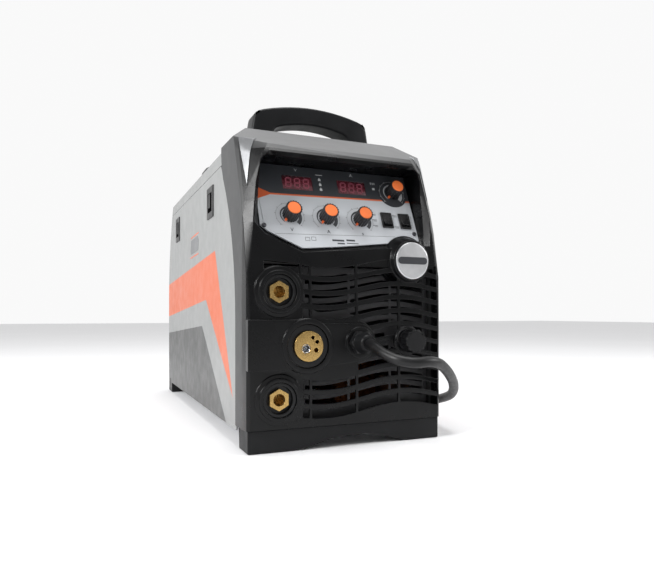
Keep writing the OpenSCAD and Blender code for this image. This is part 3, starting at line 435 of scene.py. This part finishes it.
for name, o in NODES.items():
    for face in o.data.polygons:
        face.use_smooth = True
    weld = o.modifiers.new("weld", "WELD")
    weld.merge_threshold = 0.00001
    if name in ROUND:
        edge = o.modifiers.new("edge", "BEVEL")
        edge.width, edge.segments = ROUND[name] / 1000, 2
        edge.limit_method, edge.angle_limit = "ANGLE", math.radians(28)
        edge.use_clamp_overlap = False
        edge.miter_outer = "MITER_ARC"
    normal = o.modifiers.new("normal", "WEIGHTED_NORMAL")
    normal.keep_sharp = True

# ---- polarity lead ----------------------------------------------------------------------------------
ROUTE = [
    LEAD_EXIT, (8.5, -48, 114.5), (11, -64, 108.5), (19, -79, 103), (33, -88, 100.5),
    (50, -88, 101), (67, -81, 98), (85, -68, 89.5), (103, -51, 79.5), (119, -33, 70), (133, -14, 60),
    (144, 7, 50.5), (152, 30, 43.5), (157, 55, 37), (160, 82, 29), (162, 110, 20.5), (163, 138, 13),
    (163, 166, 8.5), (163, 194, 7), (163, 222, 10), (163, 250, 15)]
line = smooth_line([row(*p) for p in ROUTE], 8)
curve = bpy.data.curves.new("lead_cable", "CURVE")
curve.dimensions = "3D"
curve.bevel_depth, curve.bevel_resolution = LEAD_WIDTH / 2, 7
spline = curve.splines.new("POLY")
spline.points.add(len(line) - 1)
for point, p in zip(spline.points, line):
    point.co = (*p, 1)
lead = link("lead_cable", curve, "machine", LEAD_RUBBER)
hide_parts("polarity_lead")


# ---- printed details --------------------------------------------------------------------------------
def plates(name, shapes, place, low, high, material, body="machine"):
    """Thin flat pieces: each shape is an outline of (a, b) points, from height low to high mm."""
    bm = bmesh.new()
    for outline in shapes:
        loops = [[bm.verts.new(place(a, b, h)) for a, b in outline] for h in (low, high)]
        n = len(outline)
        bm.faces.new(loops[1])
        bm.faces.new(loops[0][::-1])
        for i in range(n):
            j = (i + 1) % n
            bm.faces.new((loops[0][i], loops[0][j], loops[1][j], loops[1][i]))
    bmesh.ops.recalc_face_normals(bm, faces=bm.faces)
    mesh = bpy.data.meshes.new(name)
    bm.to_mesh(mesh)
    bm.free()
    return link(name, mesh, body, material)


def rect(a, b, w, h, turn=0.0):
    c, s = math.cos(turn), math.sin(turn)
    return [(a + c * u - s * t, b + s * u + c * t)
            for u, t in ((-w / 2, -h / 2), (w / 2, -h / 2), (w / 2, h / 2), (-w / 2, h / 2))]


def stroke(p, q, width):
    (a, b), (c, d) = p, q
    return rect((a + c) / 2, (b + d) / 2, math.hypot(c - a, d - b), width, math.atan2(d - b, c - a))


def band(centre, r_in, r_out, start, end, steps):
    """Pieces of a ring sector, in degrees clockwise from up; r_out may be a pair that it grows between."""
    grow = r_out if isinstance(r_out, tuple) else (r_out, r_out)
    parts = []

    def at(r, deg):
        return (centre[0] + r * math.sin(math.radians(deg)), centre[1] + r * math.cos(math.radians(deg)))

    for i in range(steps):
        t0, t1 = i / steps, (i + 1) / steps
        a0, a1 = start + (end - start) * t0, start + (end - start) * t1
        o0, o1 = grow[0] + (grow[1] - grow[0]) * t0, grow[0] + (grow[1] - grow[0]) * t1
        parts.append([at(r_in, a0), at(r_in, a1), at(o1, a1), at(o0, a0)])
    return parts


def seven(a, b, w, h, t, lean=0.09):
    """The seven bars of a digit eight, leaning right."""
    bars = []
    for u, v, across in ((0, h, 1), (0, 0, 1), (0, h / 2, 1), (-w / 2, h / 4, 0), (w / 2, h / 4, 0),
                         (-w / 2, 3 * h / 4, 0), (w / 2, 3 * h / 4, 0)):
        long = (w if across else h / 2) / 2 - t * 0.62
        tip = t / 2
        if across:
            out = [(-long - tip, 0), (-long, -tip), (long, -tip), (long + tip, 0), (long, tip), (-long, tip)]
        else:
            out = [(0, -long - tip), (tip, -long), (tip, long), (0, long + tip), (-tip, long), (-tip, -long)]
        bars.append([(a + u + x + lean * (v + y), b + v + y) for x, y in out])
    return bars


def letters(name, text, x, v, size, material):
    """A short generic label lying on the panel."""
    data = bpy.data.curves.new(name, "FONT")
    data.body, data.size, data.extrude = text, size / 1000, 0.00006
    data.align_x, data.align_y = "CENTER", "CENTER"
    o = bpy.data.objects.new(name, data)
    bpy.context.collection.objects.link(o)
    data.materials.append(material)
    spot = on_panel(x, v, 0.1)
    o.matrix_world = Matrix(((1, 0, 0, spot.x), (0, UP.y, OUT.y, spot.y),
                             (0, UP.z, OUT.z, spot.z), (0, 0, 0, 1)))
    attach(o, "machine")
    return o


dark, grey, white, orange = [], [], [], []
for i, (name, (x, v)) in enumerate(KNOBS.items()):
    last = name == "current_knob"
    if last:
        dark += band((x, v), 9.9, 20.3, 0, 360, 60)
    wedge = white if last else dark
    wedge += band((x, v), 10.6, (11.3, 15.2), -138, 138, 46)
    ring = white if last else grey
    ring += band((x, v), 16.9, 17.15, -140, 140, 46)
    for k in range(11):
        a = math.radians(-135 + 27 * k)
        s, c = math.sin(a), math.cos(a)
        ring.append(stroke((x + 17.1 * s, v + 17.1 * c), (x + 18.5 * s, v + 18.5 * c), 0.45))
    # the knob's own pointer, a raised orange bar low on its skirt
    plates(name + "_pointer", [stroke((x - 6.2, v - 6.8), (x - 7.2, v - 7.9), 2.6)], on_panel, 1.0, 4.6,
           PRINT_ORANGE, body=name + "_body")
for x, label in ((-64, "V"), (-19, "A"), (25, "s")):
    letters("label_" + label.lower(), label, x, -3.4, 6.2, PRINT_DARK)
letters("unit_volts", "V", -48, 80, 6, PRINT_WHITE)
letters("unit_amps", "A", 24.8, 80, 6, PRINT_WHITE)
for v in (55, 62, 69):
    white += [rect(-19, v, 3.0, 3.0), rect(-19, v + 2.2, 1.2, 0.8)]
white += [rect(-19, 76, 9, 0.6), rect(53, 63, 3.2, 3.0), rect(50.5, 71, 1.0, 3.0), rect(53, 71, 1.0, 3.0),
          rect(55.5, 71, 1.0, 3.0)]
grey.append(stroke((-85, -9.6), (68, -5), 0.35))
for x, v in ((-47, -14.5), (-39.5, -13.8)):
    left, right, bottom, top = x - 2.6, x + 2.6, v - 2.2, v + 2.2
    grey += [stroke((left, bottom), (right, bottom), 0.5), stroke((left, top), (right, top), 0.5),
             stroke((left, bottom), (left, top), 0.5), stroke((right, bottom), (right, top), 0.5)]
dark += [rect(-9, -14.5, 15, 2.2), rect(7, -13.6, 11, 2.2), rect(-6, -18.4, 9, 1.6), rect(9, -17.6, 15, 1.0)]
for x in (44.8, 74.0):
    for v in (25.5, 17.5, 9.5):
        if x < 60 or v != 17.5:
            grey.append(rect(x, v, 6.4, 0.8))
            grey.append(rect(x + 1, v - 1.6, 4.0, 0.6))
orange.append([(-101, 35), (-84, 42.5), (-84, 44.6), (-101, 52)])
plates("print_dark", dark, on_panel, 0.02, 0.16, PRINT_DARK)
plates("print_grey", grey, on_panel, 0.02, 0.18, PRINT_GREY)
plates("print_white", white, on_panel, 0.02, 0.22, PRINT_WHITE)
plates("print_orange", orange, on_panel, 0.02, 0.16, PRINT_ORANGE)
digits = []
for x, v in ((-48, 62), (22.7, 62)):
    for k in (-1, 0, 1):
        digits += seven(x + k * 11.2 - 0.7, v - 6.2, 6.2, 12.4, 1.7)
plates("display_segments", digits, on_panel, -0.48, -0.34, SEGMENT)


def on_front(x, z, out):
    return row(x, -out, z)


# a plain dark bar across the badge
bar = []
for k in range(18):
    right = k < 9
    a = math.radians(180 - 22.5 * k if right else -22.5 * (k - 9))
    bar.append((BADGE_X + 15.5 * (1 if right else -1) + 4.2 * math.sin(a), BADGE_Z + 4.2 * math.cos(a)))
plates("badge_bar", [bar], on_front, 7.5, 8.1, PRINT_DARK)


def on_door(y, z, out):
    return row(-DOOR_FACE - out, y, z)


# a plain sign on the door: a dark slanted plate between two orange rules
plates("door_sign", [[(272, 246), (332, 244), (336, 250), (330, 266), (276, 268), (268, 262)]],
       on_door, 0.02, 0.2, PRINT_GREY, body="door_body")
plates("door_rules", [stroke((270, 241), (336, 239), 1.6), stroke((268, 272), (332, 270), 1.6)], on_door, 0.02,
       0.2, PRINT_ORANGE, body="door_body")

# ---- floor, world and light -------------------------------------------------------------------------
floor_paint = Paint("floor_pale")
pale = floor_paint.mix(floor_paint.noise(2, 2), (0.86, 0.86, 0.87), (0.90, 0.90, 0.91))
floor_paint.to("Base Color", pale)
floor_paint.to("Roughness", floor_paint.ramp(floor_paint.noise(30, 2), 0.3, 0.7, 0.7, 0.85))
bm = bmesh.new()
bmesh.ops.create_grid(bm, x_segments=2, y_segments=2, size=9)
mesh = bpy.data.meshes.new("floor")
bm.to_mesh(mesh)
bm.free()
floor = link("floor", mesh, None, floor_paint.mat)
floor.location.z = -0.0005

world = bpy.data.worlds.new("studio")
world.use_nodes = True
# the sky is white to the camera, and as a light it is dimmer towards the object's front
sky = world.node_tree
where = sky.nodes.new("ShaderNodeTexCoord")
split = sky.nodes.new("ShaderNodeSeparateXYZ")
fade = sky.nodes.new("ShaderNodeMapRange")
for key, v in (("From Min", -0.8), ("From Max", 0.4), ("To Min", 0.38), ("To Max", 0.95)):
    fade.inputs[key].default_value = v
seen = sky.nodes.new("ShaderNodeLightPath")
pick = sky.nodes.new("ShaderNodeMix")
pick.inputs["B"].default_value = 0.95
sky.links.new(where.outputs["Generated"], split.inputs[0])
sky.links.new(split.outputs["Y"], fade.inputs["Value"])
sky.links.new(seen.outputs["Is Camera Ray"], pick.inputs["Factor"])
sky.links.new(fade.outputs[0], pick.inputs["A"])
sky.links.new(pick.outputs["Result"], sky.nodes["Background"].inputs["Strength"])
sky.nodes["Background"].inputs["Color"].default_value = (1, 1, 1, 1)
bpy.context.scene.world = world
bpy.context.scene.view_settings.view_transform = "Standard"


def area(name, at, target, size, power):
    light = bpy.data.lights.new(name, "AREA")
    light.shape, light.size, light.energy = "DISK", size, power
    o = bpy.data.objects.new(name, light)
    bpy.context.collection.objects.link(o)
    o.location = at
    o.rotation_euler = (Vector(target) - Vector(at)).to_track_quat("-Z", "Y").to_euler()


area("key", (-1.9, -0.7, 1.2), (0, 0, 0.2), 0.8, 42)
area("top", (0.1, -0.3, 2.0), (0, 0, 0.3), 1.3, 20)
area("right", (1.6, -0.9, 0.9), (0, 0, 0.2), 0.6, 11)
